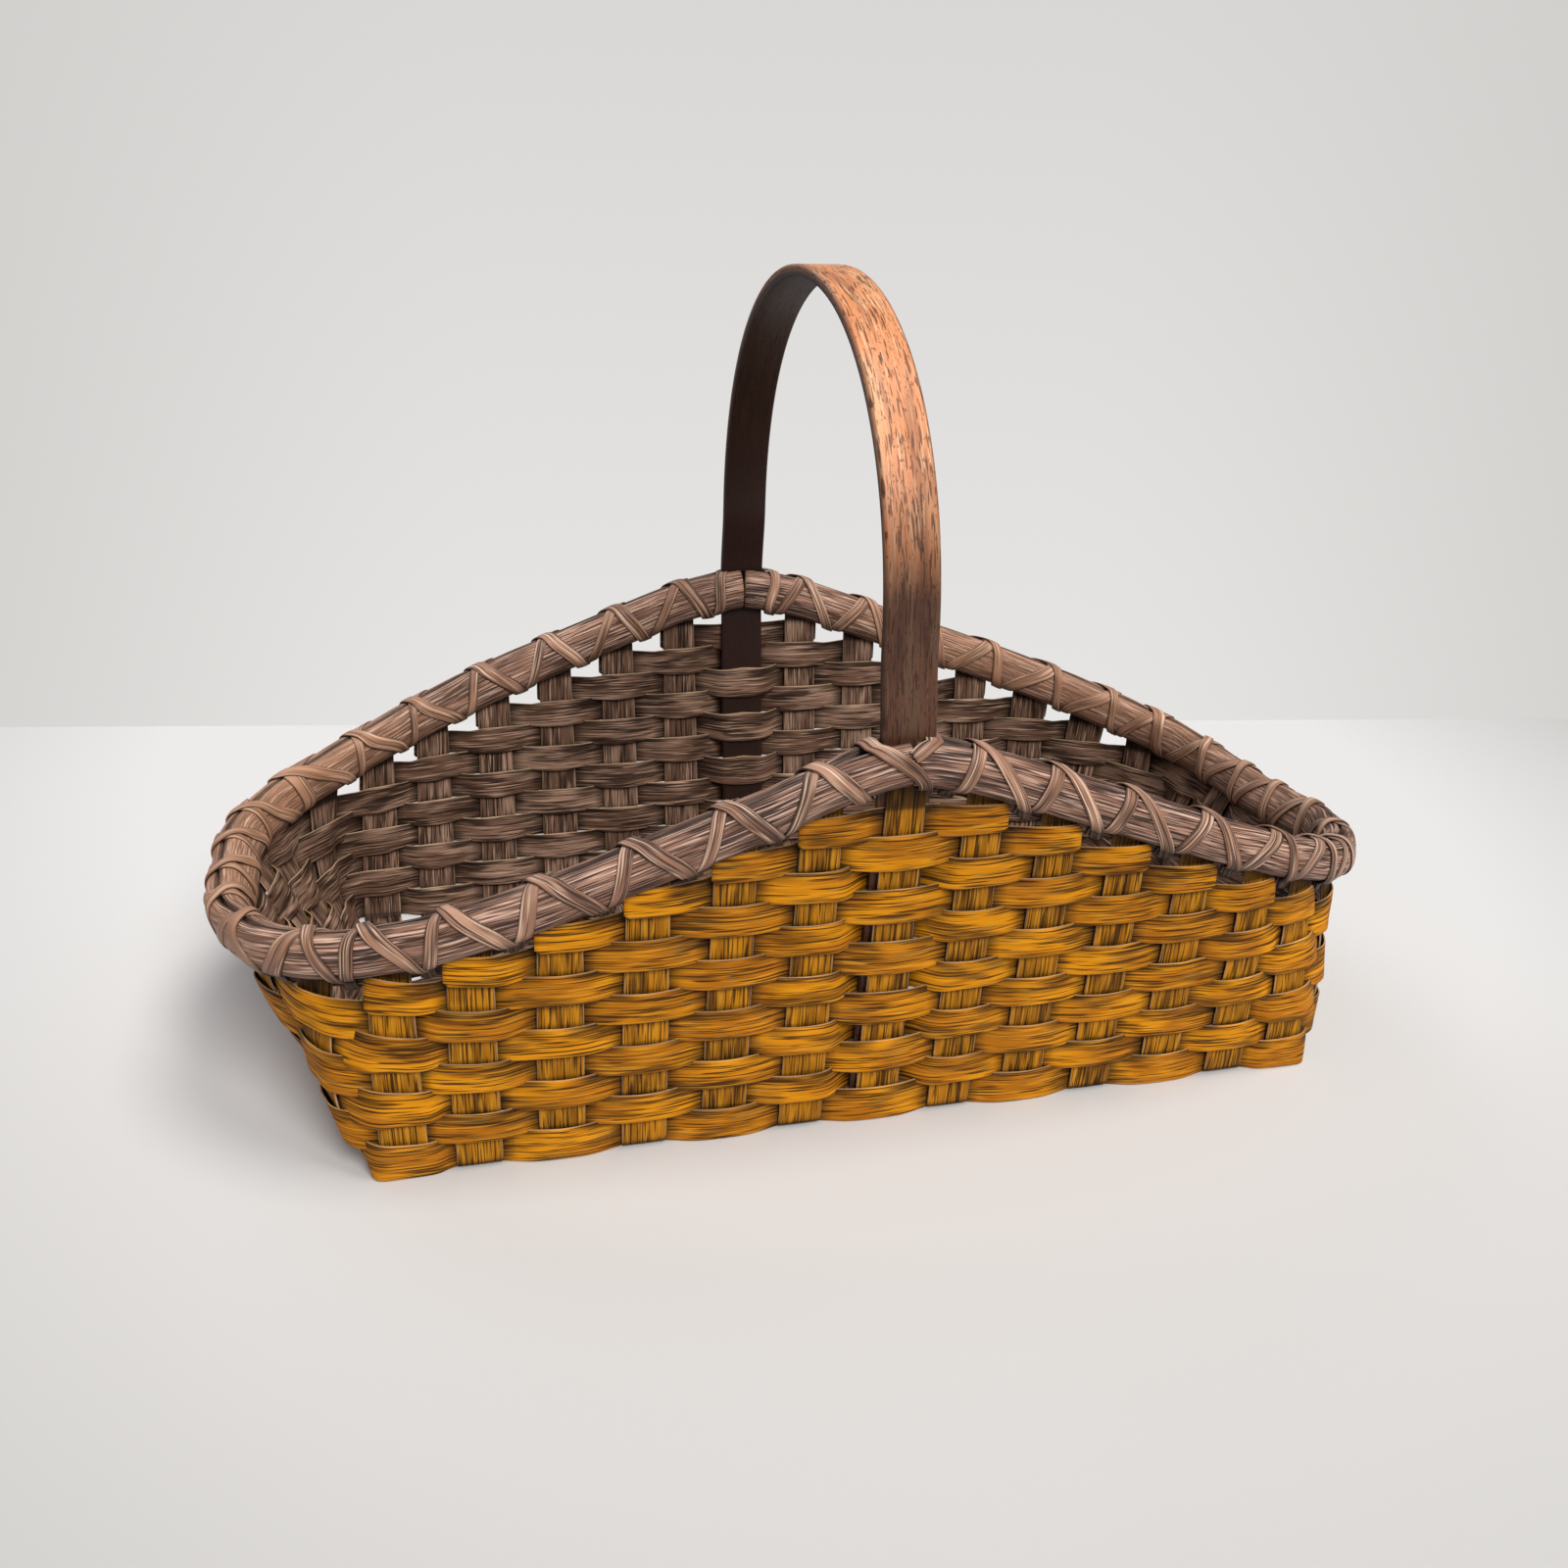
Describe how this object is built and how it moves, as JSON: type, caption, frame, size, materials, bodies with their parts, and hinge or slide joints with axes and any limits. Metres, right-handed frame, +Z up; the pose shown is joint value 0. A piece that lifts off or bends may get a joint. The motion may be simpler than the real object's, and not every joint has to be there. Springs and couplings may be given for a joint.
{
  "type": "foraging basket",
  "caption": "Open oblong basket woven from flat wooden splints, with a lashed rim that dips at both ends and a bent hoop handle across the middle.",
  "frame": {"origin": "on the floor, under the middle of the base", "axes": "+X along the long sides towards the right end, +Y towards the back, +Z up; the handle stands in the plane x = 0"},
  "size_m": [0.5522, 0.3016, 0.3481],
  "materials": {
    "painted_stake_splint": "worn mustard paint over brown stained splint",
    "painted_weaver_splint": "worn mustard paint outside, brown stain inside",
    "rim_wood": "pinkish brown half oval wood with grain lines",
    "bark_lashing": "flat inner bark strip, dry and matt",
    "handle_wood": "bent hardwood with a worn satin stain"
  },
  "bodies": {
    "root": {"back_short_weaver_07": "painted_weaver_splint", "back_short_weaver_08": "painted_weaver_splint", "back_short_weaver_09": "painted_weaver_splint", "back_short_weaver_10": "painted_weaver_splint", "back_short_weaver_11": "painted_weaver_splint", "back_short_weaver_12": "painted_weaver_splint", "end_stake_1": "painted_stake_splint", "end_stake_2": "painted_stake_splint", "end_stake_3": "painted_stake_splint", "end_stake_4": "painted_stake_splint", "end_stake_5": "painted_stake_splint", "end_stake_6": "painted_stake_splint", "end_stake_7": "painted_stake_splint", "front_short_weaver_07": "painted_weaver_splint", "front_short_weaver_08": "painted_weaver_splint", "front_short_weaver_09": "painted_weaver_splint", "front_short_weaver_10": "painted_weaver_splint", "front_short_weaver_11": "painted_weaver_splint", "front_short_weaver_12": "painted_weaver_splint", "handle": "handle_wood", "inner_rim_left": "rim_wood", "inner_rim_right": "rim_wood", "outer_rim_left": "rim_wood", "outer_rim_right": "rim_wood", "over_lashing_left": "bark_lashing", "over_lashing_right": "bark_lashing", "ring_weaver_01": "painted_weaver_splint", "ring_weaver_02": "painted_weaver_splint", "ring_weaver_03": "painted_weaver_splint", "ring_weaver_04": "painted_weaver_splint", "ring_weaver_05": "painted_weaver_splint", "ring_weaver_06": "painted_weaver_splint", "side_stake_01": "painted_stake_splint", "side_stake_02": "painted_stake_splint", "side_stake_03": "painted_stake_splint", "side_stake_04": "painted_stake_splint", "side_stake_05": "painted_stake_splint", "side_stake_06": "painted_stake_splint", "side_stake_07": "painted_stake_splint", "side_stake_08": "painted_stake_splint", "side_stake_09": "painted_stake_splint", "side_stake_10": "painted_stake_splint", "side_stake_11": "painted_stake_splint", "side_stake_12": "painted_stake_splint", "side_stake_13": "painted_stake_splint", "under_lashing_left": "bark_lashing", "under_lashing_right": "bark_lashing"}
  },
  "joints": []
}
